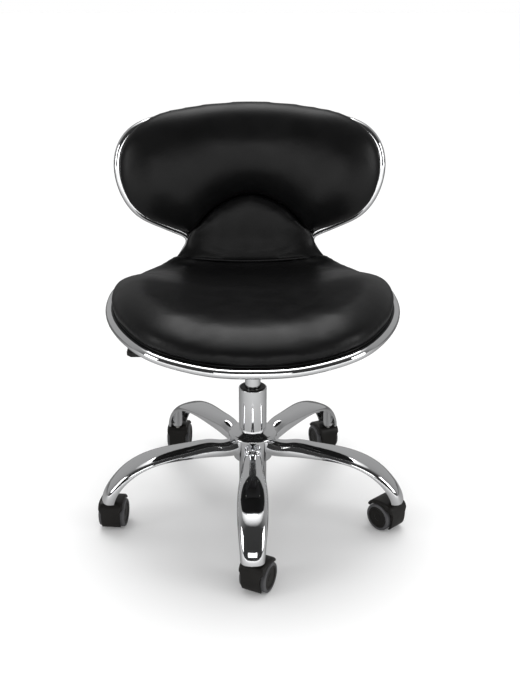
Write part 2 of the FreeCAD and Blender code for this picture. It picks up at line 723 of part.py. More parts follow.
def leg_section(spot, into, half, depth, below):
    """A closed arch standing on its open side; 'into' points from the crown to that side."""
    steps = [math.pi * i / 12 for i in range(13)]
    shape = 2 / 2.6
    arch_points = []
    for a in steps:
        across = math.copysign(abs(math.cos(a)) ** shape, math.cos(a)) * half
        rise = max(math.sin(a), 0) ** shape * depth
        arch_points.append(spot + into * (depth - rise) + V(0, across, 0))
    curve = Part.BSplineCurve()
    curve.interpolate(arch_points)
    feet = [arch_points[-1] + into * below, arch_points[0] + into * below]
    corners = [arch_points[-1]] + (feet if below else []) + [arch_points[0]]
    edges = [curve.toShape()]
    edges += [Part.makeLine(p, q) for p, q in zip(corners, corners[1:])]
    return Part.Wire(edges)


def leg_loft(shrink, below):
    """A smooth solid through a leg's cross-sections, each shrunk by the same amount."""
    wires = []
    last = len(LEG_SECTIONS) - 1
    for i, (out, up, half, depth) in enumerate(LEG_SECTIONS):
        before, after = LEG_SECTIONS[max(i - 1, 0)], LEG_SECTIONS[min(i + 1, last)]
        run = V(after[0] - before[0], 0, after[1] - before[1]).normalize()
        if i == 0:
            run = V(1, 0, 0)
        if i == last:
            run = V(0, 0, -1)
        into = V(run.z, 0, -run.x)
        spot = V(out, 0, up) + into * shrink
        ends = {0: -1, last: 1}
        if shrink and i in ends:
            spot += run * (8 * ends[i])
        wires.append(leg_section(spot, into, half - shrink, depth - shrink, below))
    return Part.makeLoft(wires, True, False)


def make_leg(label, angle):
    """A pressed channel, open underneath, butted against the hub."""
    wall = size("leg_wall")
    hub = Part.makeCylinder(size("hub_radius") + size("fit"), 2 * size("hub_top"))
    channel = leg_loft(0, 0).cut([leg_loft(wall, 3), hub])
    piece = doc.addObject("Part::Feature", label)
    piece.Shape = channel
    return finish(piece, label, FreeCAD.Placement(V(0, 0, 0), spin(angle)))


def stem_spots():
    """Where the five caster stems stand, and each leg's direction in degrees."""
    spots = []
    for i in range(5):
        angle = -90 + 72 * i + size("base_turn")
        spots.append((spin(angle).multVec(V(size("stem_circle"), 0, 0)), angle))
    return spots


def group_on_stems(name, make_one):
    """One node holding the same solid at every leg end."""
    solids = []
    for spot, angle in stem_spots():
        solid = make_one().copy()
        solid.Placement = FreeCAD.Placement(V(0, 0, 0), spin(angle))
        solids.append(solid)
    piece = doc.addObject("Part::Feature", name)
    piece.Shape = Part.makeCompound(solids)
    return finish(piece, name)


def make_socket():
    """An upright tube inside a leg's end, its top cut aslant to clear the crown."""
    out = size("stem_circle")
    low = size("socket_bottom")
    tall = size("socket_top") - low
    tube = Part.makeCylinder(size("socket_radius"), tall, V(out, 0, low))
    bore = Part.makeCylinder(size("socket_bore"), tall, V(out, 0, low))
    above = Part.makeBox(60, 60, 60, V(0, -30, 0))
    turn = FreeCAD.Rotation(V(0, 1, 0), size("socket_slant"))
    outer_top = V(out + size("socket_radius"), 0, size("socket_outer_top"))
    above.Placement = FreeCAD.Placement(outer_top - turn.multVec(V(60, 0, 0)), turn)
    inner_part = Part.makeBox(60, 60, 90, V(out + size("socket_radius"), -30, low - 1))
    return tube.cut([bore, above, inner_part])


def make_stem():
    out = size("stem_circle")
    low = size("stem_bottom")
    stem = Part.makeCylinder(size("stem_radius"), size("stem_top") - low, V(out, 0, low))
    return stem.makeChamfer(1, [e for e in stem.Edges if e.BoundBox.ZMin > low + 1])


def make_grip_ring():
    """A split spring ring between stem and socket."""
    out = size("stem_circle")
    low = size("ring_bottom")
    tall = size("ring_top") - low
    ring = Part.makeCylinder(size("socket_bore") - 0.03, tall, V(out, 0, low))
    bore = Part.makeCylinder(size("stem_radius") + 0.03, tall, V(out, 0, low))
    wide = size("ring_slit")
    slit = Part.makeBox(8, wide, tall, V(out - 8, -wide / 2, low))
    return ring.cut([bore, slit])


# ---------------------------------------------------------------- casters

# The way each caster's hood faces at rest, in degrees; the base's turn is added.
HOOD_TURNS = {"front": -116, "right": -49, "rear_right": -68, "rear_left": -95, "left": -95}

# Hood seen from the side, measured from the axle: forward, up.
HOOD_TOP = ((-27.5, 14), (-25, 20), (-16, 28.5), (-2, 32.5), (12, 33), (22, 31.5),
            (29, 25), (31, 12), (30.5, 0), (28, -11), (23.5, -17.5))
HOOD_WEB = ((23.5, -17.5), (8, -9), (-4, -8.5), (-9, -2), (-12, 9), (-27.5, 14))


def caster_place(spot, heading):
    """From the caster's own frame (stem at its origin, hood facing +X) to the stool's."""
    return FreeCAD.Placement(spot, spin(heading))


def from_axle(outline):
    """An outline measured from the axle, in the caster's own frame."""
    return [(a - size("trail"), b + size("wheel_radius")) for a, b in outline]


def make_hood(label, place):
    body = new_body(label)
    side = new_sketch(body, "XZ_Plane", f"{label}_side")
    add_chain(side, smooth(from_axle(HOOD_TOP)), from_axle(HOOD_WEB))
    pad(body, side, "2 * dims.hood_half", both_ways=True)
    fillet(body, lambda e: e.BoundBox.ZMax > 50 and e.BoundBox.XLength > 50, "4")
    for sign, reverse in ((1, True), (-1, False)):
        room = new_sketch(body, "XZ_Plane", f"{label}_room", f"{sign} * dims.web_half")
        add_circle(room, "-dims.trail", "dims.wheel_radius",
                   "dims.wheel_radius + dims.hood_clear")
        pocket(body, room, "dims.hood_half", reverse=reverse)
    front = new_sketch(body, "YZ_Plane", f"{label}_skirt")
    wide = size("hood_half") + 5
    narrow = size("skirt_half")
    level = size("skirt_level")
    for side_sign in (-1, 1):
        outline = [(side_sign * a, b) for a, b in (
            (narrow, -5), (narrow, level - 8), (narrow + 1.5, level - 3),
            (narrow + 5, level), (wide, level), (wide, -5))]
        add_chain(front, outline + [outline[0]])
    pocket(body, front, both_ways=True)
    bore = new_sketch(body, "XY_Plane", f"{label}_stem_bore", "dims.wheel_radius + 35")
    add_circle(bore, "0", "0", "dims.stem_radius + dims.fit")
    pocket(body, bore, "dims.wheel_radius + 35 - dims.stem_bottom + 0.5")
    hole = new_sketch(body, "XZ_Plane", f"{label}_axle_bore")
    add_circle(hole, "-dims.trail", "dims.wheel_radius", "dims.axle_radius + 0.02")
    pocket(body, hole, both_ways=True)
    return finish(body, label, place)


def make_axle(label, place):
    body = new_body(label)
    sketch = new_sketch(body, "XZ_Plane", f"{label}_circle")
    add_circle(sketch, "-dims.trail", "dims.wheel_radius", "dims.axle_radius")
    pad(body, sketch, "2 * dims.axle_half", both_ways=True)
    return finish(body, label, place)


def on_axle(place, side):
    """The place of a wheel turned about Z: its own axis laid along the axle."""
    lie = FreeCAD.Rotation(X_AXIS, -90 * side)
    spot = V(-size("trail"), 0, size("wheel_radius"))
    return place.multiply(FreeCAD.Placement(spot, lie))


def make_wheel(label, place):
    inner = "dims.web_half + dims.wheel_gap"
    bore = "dims.axle_radius + dims.fit"
    body = revolve(label, [
        (bore, inner), ("dims.wheel_boss", inner),
        ("dims.wheel_boss", "dims.web_half + 2"),
        ("dims.wheel_core - 3", "dims.web_half + 2"),
        ("dims.wheel_core", "dims.web_half + 3.5"),
        ("dims.wheel_core", "dims.wheel_side"),
        ("dims.wheel_core - 3", "dims.wheel_side"),
        ("dims.wheel_core - 4", "dims.wheel_side - dims.wheel_dish"),
        ("dims.wheel_boss - 1", "dims.wheel_side - dims.wheel_dish"),
        ("dims.wheel_boss - 2", "dims.wheel_side - dims.wheel_dish / 2"),
        ("0", "dims.wheel_side - dims.wheel_dish / 2"),
        ("0", "dims.axle_half + 0.3"), (bore, "dims.axle_half + 0.3")])
    return finish(body, label, place)


def make_tread(label, place):
    core = "dims.wheel_core + dims.fit"
    body = revolve(label, [
        (core, "dims.tread_inner"), ("dims.wheel_radius - 1", "dims.tread_inner"),
        ("dims.wheel_radius", "dims.tread_inner + 1.5"),
        ("dims.wheel_radius", "dims.tread_side - 1.8"),
        ("dims.wheel_radius - 0.6", "dims.tread_side - 0.6"),
        ("dims.wheel_radius - 1.8", "dims.tread_side"), (core, "dims.tread_side")])
    return finish(body, label, place)


def make_caster(name, spot, heading):
    place = caster_place(spot, heading)
    make_hood(f"{name}_hood", place)
    make_axle(f"{name}_axle", place)
    for hand, side in (("left", 1), ("right", -1)):
        make_wheel(f"{name}_{hand}_wheel", on_axle(place, side))
        make_tread(f"{name}_{hand}_tread", on_axle(place, side))


# ---------------------------------------------------------------- the whole stool

def build():
    make_hub()
    make_cap_ring()
    names = ("front", "right", "rear_right", "rear_left", "left")
    for name, (spot, angle) in zip(names, stem_spots()):
        make_leg(f"{name}_leg", angle)
        make_caster(name, spot, HOOD_TURNS[name] + size("base_turn"))
    group_on_stems("leg_sockets", make_socket)
    group_on_stems("caster_stems", make_stem)
    group_on_stems("stem_grip_rings", make_grip_ring)
    make_column_tube()
    make_bushing()
    make_thrust_bearing()
    make_piston_rod()
    make_clip()
    make_pressure_cylinder()
    make_release_pin()
    make_cone()
    make_bracket()
    make_pivot_pin()
    make_lever_rod()
    make_paddle()
    make_seat_plate()
    make_bolts()
    make_shell()
    make_cover()
    make_edge_trim()
    make_seat_cushion()
    make_waist_pad()
    make_back_cushion()


def check_and_write():
    doc.recompute()
    for item in doc.Objects:
        if "Invalid" in item.State or "Error" in item.State:
            raise ValueError(f"{item.Label}: {item.State}")
    for subpart in SUBPARTS:
        if subpart.Shape.isNull() or not subpart.Shape.isValid():
            raise ValueError(f"{subpart.Label}: shape is missing or not valid")
    os.makedirs("parts", exist_ok=True)
    for subpart in SUBPARTS:
        subpart.Shape.exportStep(f"parts/{subpart.Label}.step")
    print(len(SUBPARTS), "sub-parts written")


build()
check_and_write()
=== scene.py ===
import json
import math

import bpy
import numpy as np
from mathutils import Euler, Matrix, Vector


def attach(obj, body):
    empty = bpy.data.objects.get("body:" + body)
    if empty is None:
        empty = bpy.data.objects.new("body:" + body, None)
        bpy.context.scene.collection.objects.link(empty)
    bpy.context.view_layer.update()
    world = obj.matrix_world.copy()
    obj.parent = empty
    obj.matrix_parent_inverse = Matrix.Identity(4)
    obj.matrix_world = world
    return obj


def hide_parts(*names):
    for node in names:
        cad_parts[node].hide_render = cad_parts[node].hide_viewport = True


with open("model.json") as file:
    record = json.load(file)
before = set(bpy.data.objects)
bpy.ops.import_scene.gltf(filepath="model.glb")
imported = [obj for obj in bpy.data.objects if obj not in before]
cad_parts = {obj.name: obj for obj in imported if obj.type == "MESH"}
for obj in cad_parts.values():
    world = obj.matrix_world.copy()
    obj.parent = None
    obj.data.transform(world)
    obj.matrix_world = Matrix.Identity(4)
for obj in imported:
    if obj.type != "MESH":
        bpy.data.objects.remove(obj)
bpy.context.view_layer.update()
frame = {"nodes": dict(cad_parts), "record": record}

scene = bpy.context.scene

# ---------------------------------------------------------------- the bent seat surface
# Metres.  Every soft piece and the trim lie on one bent, dished surface: a runs across it,
# s along its spine (0 where the bend starts) and o is the height above it.

LEVEL = 0.370
DISH = 0.980
BEND_Y = 0.095
BEND = 0.110
BEND_Z = LEVEL + BEND
TURN = math.radians(85)
SHELL_HALF = 0.006
PAD_BASE = 0.0065

# Outer edge of the trim, right half, in millimetres: plan of the seat (x, y) and front view
# of the waist and back (x, z).
SEAT_HALF = ((0, -238), (57, -236), (113, -221), (166, -194), (207, -147), (235, -88),
             (249, -22), (251, 42), (243, 92), (222, 122), (194, 146), (168, 163),
             (148, 177), (136, 188), (130, 198), (128, 212))
BACK_HALF = ((146, 425), (133.5, 440), (127, 450), (122, 461), (139, 474), (172, 489),
             (206, 508), (231, 538), (245, 575), (248, 606), (240, 642), (217, 671),
             (175, 689), (112, 698), (50, 702), (0, 703))
# The seat's plan counts up to this y, and the back's front view from this z.
SEAT_ENDS, BACK_STARTS = 0.181, 0.434
OUTLINE_POINTS, EDGE_POINTS = 900, 640
# The back cushion from the front; its foot is an arch over the waist pad.
BACK_PAD_HALF = ((110, 480), (134, 486), (167, 501), (199, 519), (222, 545), (233, 578),
                 (235, 608), (227, 640), (204, 668), (166, 690), (112, 704), (50, 711),
                 (0, 712.5))
ARCH_HALF, ARCH_LOW, ARCH_TOP, ARCH_SHAPE = 0.104, 0.478, 0.550, 1.25


def ribbon(a, s, o):
    """Points of the surface, one row each."""
    a, s, o = np.broadcast_arrays(*(np.asarray(v, float) for v in (a, s, o)))
    swing = a / DISH
    rise = DISH - (DISH - o) * np.cos(swing)
    turn = np.clip(s / BEND, 0, TURN)
    run = s - turn * BEND
    out = BEND - rise
    return np.stack([(DISH - o) * np.sin(swing),
                     BEND_Y + out * np.sin(turn) + run * np.cos(turn),
                     BEND_Z - out * np.cos(turn) + run * np.sin(turn)], axis=-1)


def spline(points, count):
    """Evenly spaced points on a smooth curve through the given ones."""
    p = np.asarray(points, float)
    t = np.concatenate([[0], np.cumsum(np.linalg.norm(np.diff(p, axis=0), axis=1))])
    h = np.diff(t)
    n = len(p)
    left = np.eye(n)
    right = np.zeros_like(p)
    slopes = np.diff(p, axis=0) / h[:, None]
    for i in range(1, n - 1):
        left[i, i - 1:i + 2] = h[i - 1], 2 * (h[i - 1] + h[i]), h[i]
        right[i] = 6 * (slopes[i] - slopes[i - 1])
    bend = np.linalg.solve(left, right)
    at = np.linspace(0, t[-1], count)
    i = np.clip(np.searchsorted(t, at, side="right") - 1, 0, n - 2)
    w = ((at - t[i]) / h[i])[:, None]
    step = h[i][:, None]
    return ((1 - w) * p[i] + w * p[i + 1]
            + step ** 2 / 6 * (((1 - w) ** 3 - (1 - w)) * bend[i]
                               + (w ** 3 - w) * bend[i + 1]))


def mirrored(half):
    """The whole outline, in metres, from its right half."""
    right = np.asarray(half, float) / 1000
    left = right[right[:, 0] > 1e-6] * (-1, 1)
    if right[0, 0] < 1e-6:
        return np.concatenate([left[::-1], right])
    return np.concatenate([right, left[::-1]])


def sag(x):
    """How far the dish climbs at a distance from its middle line."""
    return DISH * (1 - np.cos(np.arcsin(x / DISH)))


def height_over(points):
    """How far points stand over the surface."""
    x, y, z = points.T
    turn = np.clip(np.arctan2(y - BEND_Y, BEND_Z - z), 0, TURN)
    rise = BEND - (y - BEND_Y) * np.sin(turn) - (BEND_Z - z) * np.cos(turn)
    return DISH - np.hypot(x, DISH - rise)


def spine_place(points):
    """How far along the spine points stand."""
    x, y, z = points.T
    turn = np.clip(np.arctan2(y - BEND_Y, BEND_Z - z), 0, TURN)
    run = (y - BEND_Y) * np.cos(turn) + (z - BEND_Z) * np.sin(turn)
    return turn * BEND + run


def from_plan(points):
    """(x, y) seen from above, as (a, s)."""
    x, y = points.T
    reach = BEND - sag(x)
    turn = np.arcsin(np.clip((y - BEND_Y) / reach, 0, 1))
    return np.stack([DISH * np.arcsin(x / DISH),
                     np.where(y < BEND_Y, y - BEND_Y, turn * BEND)], axis=-1)


def from_front(points):
    """(x, z) seen from the front, as (a, s)."""
    x, z = points.T
    reach = BEND - sag(x)
    turn = np.arccos(np.clip((BEND_Z - z) / reach, -1, 1))
    leave = BEND_Z - reach * math.cos(TURN)
    return np.stack([DISH * np.arcsin(x / DISH),
                     np.where(z < leave, turn * BEND,
                              TURN * BEND + (z - leave) / math.sin(TURN))], axis=-1)


def even(points, count, closed=False):
    """The same polyline with evenly spaced points."""
    p = np.concatenate([points, points[:1]]) if closed else points
    t = np.concatenate([[0], np.cumsum(np.linalg.norm(np.diff(p, axis=0), axis=1))])
    at = np.linspace(0, t[-1], count, endpoint=not closed)
    return np.stack([np.interp(at, t, p[:, k]) for k in range(p.shape[1])], axis=-1)


def normals(outline):
    """Unit normals to the right of the way a closed outline runs."""
    run = np.roll(outline, -1, axis=0) - np.roll(outline, 1, axis=0)
    run /= np.linalg.norm(run, axis=1)[:, None]
    return np.stack([run[:, 1], -run[:, 0]], axis=-1)


seat_line = spline(mirrored(SEAT_HALF), OUTLINE_POINTS)
back_line = spline(mirrored(BACK_HALF), OUTLINE_POINTS)
seat_edge = from_plan(seat_line[seat_line[:, 1] < SEAT_ENDS])
back_edge = from_front(back_line[back_line[:, 1] > BACK_STARTS])
EDGE = even(np.concatenate([seat_edge, back_edge]), EDGE_POINTS, closed=True)


def inset(distance, outline=EDGE):
    """The outline moved inwards; it runs anticlockwise, so its right is outside."""
    return outline - normals(outline) * distance


# ---------------------------------------------------------------- mesh helpers

def new_piece(name, verts, faces, material, body="seat"):
    mesh = bpy.data.meshes.new(name)
    mesh.from_pydata([tuple(v) for v in verts], [], [tuple(f) for f in faces])
    mesh.update()
    piece = bpy.data.objects.new(name, mesh)
    scene.collection.objects.link(piece)
    if material is not None:
        mesh.materials.append(material)
    for face in mesh.polygons:
        face.use_smooth = True
    if body:
        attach(piece, body)
    return piece


def grid_faces(rows, cols, wrap_rows=False, wrap_cols=False, flip=False):
    faces = []
    for i in range(rows if wrap_rows else rows - 1):
        for j in range(cols if wrap_cols else cols - 1):
            k, m = (i + 1) % rows, (j + 1) % cols
            face = (i * cols + j, i * cols + m, k * cols + m, k * cols + j)
            faces.append(face[::-1] if flip else face)
    return faces


def swept_edge(name, outline, profile, material):
    """A section of (distance inwards, height) points carried round an outline."""
    out = normals(outline)
    rings = [ribbon(outline[:, 0] - out[:, 0] * d, outline[:, 1] - out[:, 1] * d, o)
             for d, o in profile]
    verts = np.stack(rings, axis=1).reshape(-1, 3)
    faces = grid_faces(len(outline), len(profile), True, True)
    return new_piece(name, verts, faces, material)


def tube(name, path, radius, material, closed=False, sides=10):
    """A round cord along a path of points."""
    p = np.asarray(path, float)
    run = (np.roll(p, -1, axis=0) - np.roll(p, 1, axis=0)) if closed else np.gradient(p, axis=0)
    run /= np.linalg.norm(run, axis=1)[:, None]
    up = np.cross(run, (0.0, 0.0, 1.0)) + 1e-6
    up /= np.linalg.norm(up, axis=1)[:, None]
    side = np.cross(run, up)
    angles = np.arange(sides) * 2 * math.pi / sides
    rings = (p[:, None] + radius * (np.cos(angles)[None, :, None] * up[:, None]
                                    + np.sin(angles)[None, :, None] * side[:, None]))
    verts = rings.reshape(-1, 3)
    faces = grid_faces(len(p), sides, closed, True)
    if not closed:
        faces += [tuple(range(sides)), tuple(range(len(verts) - 1, len(verts) - sides - 1, -1))]
    return new_piece(name, verts, faces, material)


# ---------------------------------------------------------------- materials

def colour_sockets(sockets):
    return [socket for socket in sockets if socket.type == "RGBA"]


def new_material(name, colour, roughness, metallic=0.0, specular=0.5):
    made = bpy.data.materials.new(name)
    made.use_nodes = True
    shader = made.node_tree.nodes["Principled BSDF"]
    shader.inputs["Base Color"].default_value = (*colour, 1)
    shader.inputs["Roughness"].default_value = roughness
    shader.inputs["Metallic"].default_value = metallic
    shader.inputs["Specular IOR Level"].default_value = specular
    return made


def add_node(made, kind, **settings):
    node = made.node_tree.nodes.new(kind)
    for key, value in settings.items():
        if hasattr(node, key):
            setattr(node, key, value)
        else:
            node.inputs[key.replace("_", " ")].default_value = value
    return node


def place_of(made, stretch=(1, 1, 1)):
    """Object coordinates, in metres, stretched for grain that runs one way."""
    source = add_node(made, "ShaderNodeTexCoord")
    mapping = add_node(made, "ShaderNodeMapping")
    mapping.inputs["Scale"].default_value = stretch
    made.node_tree.links.new(source.outputs["Object"], mapping.inputs["Vector"])
    return mapping.outputs["Vector"]


def noise(made, scale, detail=3.0, stretch=(1, 1, 1)):
    node = add_node(made, "ShaderNodeTexNoise", Scale=scale, Detail=detail)
    made.node_tree.links.new(place_of(made, stretch), node.inputs["Vector"])
    return node.outputs["Fac"]


def cells(made, scale):
    node = add_node(made, "ShaderNodeTexVoronoi", feature="F1", Scale=scale)
    made.node_tree.links.new(place_of(made), node.inputs["Vector"])
    return node.outputs["Distance"]


def ranged(made, source, low, high, start=0.3, end=0.7):
    node = add_node(made, "ShaderNodeMapRange", From_Min=start, From_Max=end,
                    To_Min=low, To_Max=high)
    made.node_tree.links.new(source, node.inputs["Value"])
    return node.outputs["Result"]


def blend_colours(made, source, first, second):
    node = add_node(made, "ShaderNodeMix", data_type="RGBA")
    colours = colour_sockets(node.inputs)
    colours[0].default_value = (*first, 1)
    colours[1].default_value = (*second, 1)
    made.node_tree.links.new(source, node.inputs[0])
    return colour_sockets(node.outputs)[0]


def feed(made, socket, output):
    made.node_tree.links.new(output, made.node_tree.nodes["Principled BSDF"].inputs[socket])


def add_bumps(made, *layers, rounding=0.0):
    """Each layer is (height output, depth in metres), over edges eased by the rounding."""
    normal = None
    if rounding:
        eased = add_node(made, "ShaderNodeBevel", samples=4, Radius=rounding)
        normal = eased.outputs["Normal"]
    for height, depth in layers:
        bump = add_node(made, "ShaderNodeBump", Distance=depth, Strength=1.0)
        made.node_tree.links.new(height, bump.inputs["Height"])
        if normal is not None:
            made.node_tree.links.new(normal, bump.inputs["Normal"])
        normal = bump.outputs["Normal"]
    feed(made, "Normal", normal)


def make_vinyl(name="black_vinyl", shade=0.0036):
    """Coated fabric: a fine pebble over soft ripples, a little duller in patches."""
    made = new_material(name, (shade, shade, shade), 0.4, specular=0.24)
    feed(made, "Base Color", blend_colours(
        made, ranged(made, noise(made, 14), 0, 1),
        (shade * 0.75, shade * 0.75, shade * 0.8), (shade * 1.3, shade * 1.3, shade * 1.35)))
    feed(made, "Roughness", ranged(made, noise(made, 35, 4), 0.32, 0.39))
    add_bumps(made, (noise(made, 16, 2), 0.0003), (cells(made, 850), 0.00007),
              (noise(made, 420, 4), 0.00009))
    return made


def make_chrome():
    made = new_material("chrome", (0.92, 0.925, 0.935), 0.05, metallic=1.0)
    feed(made, "Roughness", ranged(made, noise(made, 22, 5), 0.03, 0.085))
    add_bumps(made, (noise(made, 26, 2), 0.00008), rounding=0.0006)
    return made


def make_plastic(name, colour, roughness, grain, specular=0.5):
    made = new_material(name, colour, roughness, specular=specular)
    lighter = tuple(c * 1.5 for c in colour)
    feed(made, "Base Color", blend_colours(made, ranged(made, noise(made, 40, 4), 0, 1),
                                           colour, lighter))
    feed(made, "Roughness", ranged(made, noise(made, 90, 4), roughness - 0.06,
                                   roughness + 0.06))
    add_bumps(made, (noise(made, 60, 2), 0.0002), (noise(made, 1500, 3), grain),
              rounding=0.0009)
    return made


def make_paint():
    made = new_material("black_paint", (0.012, 0.012, 0.0125), 0.42, specular=0.4)
    worn = ranged(made, noise(made, 45, 5), 0, 1, 0.62, 0.8)
    feed(made, "Base Color", blend_colours(made, worn, (0.011, 0.011, 0.0115),
                                           (0.03, 0.029, 0.028)))
    feed(made, "Roughness", ranged(made, noise(made, 120, 4), 0.36, 0.5))
    add_bumps(made, (noise(made, 700, 3), 0.00006), rounding=0.0006)
    return made


def make_zinc():
    made = new_material("zinc_steel", (0.62, 0.62, 0.60), 0.3, metallic=1.0)
    feed(made, "Base Color", blend_colours(made, ranged(made, noise(made, 160, 5), 0, 1),
                                           (0.52, 0.53, 0.52), (0.70, 0.69, 0.64)))
    feed(made, "Roughness", ranged(made, noise(made, 240, 4), 0.2, 0.38))
    add_bumps(made, (noise(made, 400, 3), 0.00003), rounding=0.0004)
    return made


def make_plywood():
    """Bent plies stained black."""
    made = new_material("plywood", (0.012, 0.010, 0.009), 0.6, specular=0.3)
    plies = add_node(made, "ShaderNodeTexWave", Scale=330.0, Distortion=1.5)
    made.node_tree.links.new(place_of(made, (0.05, 0.05, 1)), plies.inputs["Vector"])
    feed(made, "Base Color", blend_colours(made, plies.outputs["Fac"], (0.007, 0.006, 0.005),
                                           (0.016, 0.013, 0.011)))
    add_bumps(made, (noise(made, 60, 5, (1, 8, 8)), 0.0003))
    return made


vinyl = make_vinyl()
# A lighter copy of the vinyl for the seam cord: a painted highlight along the seam.
highlight_vinyl = make_vinyl("painted_highlight_vinyl", 0.012)
chrome = make_chrome()
nylon = make_plastic("black_nylon", (0.0075, 0.0068, 0.006), 0.38, 0.00004, 0.3)
polyurethane = make_plastic("grey_polyurethane", (0.06, 0.06, 0.063), 0.42, 0.00003, 0.35)
FINISHES = {"chrome": chrome, "black_steel": make_paint(), "zinc_steel": make_zinc(),
            "plywood": make_plywood(), "black_vinyl": vinyl, "black_nylon": nylon,
            "grey_polyurethane": polyurethane}

for subpart in frame["record"]["subparts"]:
    node = frame["nodes"][subpart["node"]]
    node.data.materials.clear()
    node.data.materials.append(FINISHES[subpart["material_slot"]])


# ---------------------------------------------------------------- cushions

ROWS_AT_ONCE = 2000
CLOTH_FRAMES = 20
STUFFING_PRESSURE = 4.0
IRONING_STEPS = 24
SEAT_VOXEL, WAIST_VOXEL, BACK_VOXEL = 0.0045, 0.004, 0.0045
# How far the cloth may move each cover.
SEAT_SWELL, WAIST_SWELL, BACK_SWELL = 0.002, 0.003, 0.005


def distance_inside(points, outline):
    """Distance to the outline and the unit way out to it, for each (a, s) point."""
    near = np.empty(len(points))
    foot = np.empty(len(points), int)
    for start in range(0, len(points), ROWS_AT_ONCE):
        rows = slice(start, start + ROWS_AT_ONCE)
        gap = np.linalg.norm(points[rows][:, None] - outline[None], axis=2)
        near[rows] = gap.min(axis=1)
        foot[rows] = gap.argmin(axis=1)
    return near, normals(outline)[foot]


def roll(distance, width, power):
    """0 at the edge, 1 from the given width on, rounded like a stuffed border."""
    share = np.clip(distance / width, 0, 1)
    return (1 - (1 - share) ** power) ** (1 / power)


def ease(value):
    """0 below 0, 1 above 1 and smooth between."""
    value = np.clip(value, 0, 1)
    return value * value * (3 - 2 * value)


def pad_solid(name, low, high, height, lean, base=PAD_BASE, cols=220, rows=110):
    """A closed pad between two lines (a, s); height, lean and base are functions over it."""
    reach = min(low[:, 0].max(), high[:, 0].max())
    across = reach * np.sin(np.linspace(-math.pi / 2, math.pi / 2, cols))
    along = (1 - np.cos(np.linspace(0, math.pi, rows))) / 2
    bottom = np.interp(across, low[:, 0], low[:, 1])
    top = np.interp(across, high[:, 0], high[:, 1])
    a = np.repeat(across[:, None], rows, axis=1)
    s = bottom[:, None] + (top - bottom)[:, None] * along[None]
    points = np.stack([a.ravel(), s.ravel()], axis=-1)
    outline = np.concatenate([np.stack([across, bottom], -1), np.stack([across, top], -1)[::-1]])
    near, out = distance_inside(points, even(outline, 900, closed=True))
    edge = np.zeros((cols, rows), bool)
    edge[0], edge[-1], edge[:, 0], edge[:, -1] = True, True, True, True
    near[edge.ravel()] = 0
    o = height(points, near)
    moved = points + out * lean(points, near, o)[:, None]
    upper = ribbon(moved[:, 0], moved[:, 1], o)
    lower = ribbon(points[:, 0], points[:, 1], base(points) if callable(base) else base)
    upper[edge.ravel()] = lower[edge.ravel()]
    verts = np.concatenate([upper, lower])
    faces = grid_faces(cols, rows, flip=True)
    faces += [tuple(i + cols * rows for i in f[::-1]) for f in faces]
    piece = new_piece(name, verts, faces, None, body=None)
    weld = piece.modifiers.new("weld", "WELD")
    weld.merge_threshold = 0.00005
    return piece


def apply_modifiers(piece):
    """Replaces the mesh by its evaluated one."""
    depsgraph = bpy.context.evaluated_depsgraph_get()
    mesh = bpy.data.meshes.new_from_object(piece.evaluated_get(depsgraph))
    piece.modifiers.clear()
    old = piece.data
    piece.data = mesh
    bpy.data.meshes.remove(old)
    mesh.name = piece.name


def remesh(piece, voxel):
    """Even faces all over, with the voxels' steps smoothed away."""
    step = piece.modifiers.new("remesh", "REMESH")
    step.mode = "VOXEL"
    step.voxel_size = voxel
    apply_modifiers(piece)
    step = piece.modifiers.new("even", "SMOOTH")
    step.factor = 0.5
    step.iterations = 3
    apply_modifiers(piece)


def places(piece):
    """The piece's vertices, one row each."""
    flat = np.empty(len(piece.data.vertices) * 3, np.float32)
    piece.data.vertices.foreach_get("co", flat)
    return flat.reshape(-1, 3).astype(float)


def settle_cover(piece, cap, held):
    """The cover as cloth, pushed out by its stuffing; held(points) tells what is fixed."""
    before = places(piece)
    group = piece.vertex_groups.new(name="fixed")
    fixed = [int(i) for i in np.flatnonzero(held(before))]
    group.add(fixed, 1.0, "REPLACE")
    cover = piece.modifiers.new("cover", "CLOTH")
    cover.settings.use_pressure = True
    cover.settings.uniform_pressure_force = STUFFING_PRESSURE
    cover.settings.vertex_group_mass = group.name
    cover.settings.effector_weights.gravity = 0
    cover.settings.tension_stiffness = 25
    cover.settings.compression_stiffness = 25
    cover.settings.bending_stiffness = 20
    cover.collision_settings.use_collision = False
    for number in range(1, CLOTH_FRAMES + 1):
        scene.frame_set(number)
    apply_modifiers(piece)
    scene.frame_set(1)
    move = places(piece) - before
    length = np.linalg.norm(move, axis=1)
    move *= np.minimum(1, cap / np.maximum(length, 1e-9))[:, None]
    piece.data.vertices.foreach_set("co", (before + move).astype(np.float32).ravel())
    piece.data.update()
    step = piece.modifiers.new("ironing", "SMOOTH")
    step.factor = 0.5
    step.iterations = IRONING_STEPS
    apply_modifiers(piece)


def finish_pad(piece, fill, *nodes):
    piece.data.materials.clear()
    piece.data.materials.append(vinyl)
    step = piece.modifiers.new("rounding", "SUBSURF")
    step.levels = step.render_levels = 1
    apply_modifiers(piece)
    for face in piece.data.polygons:
        face.use_smooth = True
    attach(piece, "seat")
    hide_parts(*nodes)


# The seat's cover meets the waist pad at a seam across the bend, which climbs to both sides.
PAD_INSET = 0.014
SEAM_MIDDLE = math.radians(50) * BEND
SEAM_RISE = math.radians(3.2) * BEND
SEAM_HALF = 0.110
SEAM_TOP = 0.039
WAIST = math.radians(79) * BEND

pad_line = inset(PAD_INSET)
front_middle = np.where(pad_line[:, 1] < 0, np.abs(pad_line[:, 0]), 9).argmin()
right_line = np.roll(pad_line, -front_middle, axis=0)
right_line = right_line[:np.flatnonzero(right_line[5:, 0] < 0)[0] + 5]
right_line[0, 0] = 0


def seam_at(a):
    """Where the seat meets the waist pad."""
    return SEAM_MIDDLE + SEAM_RISE * np.clip(np.abs(a) / SEAM_HALF, 0, 0.95) ** 2


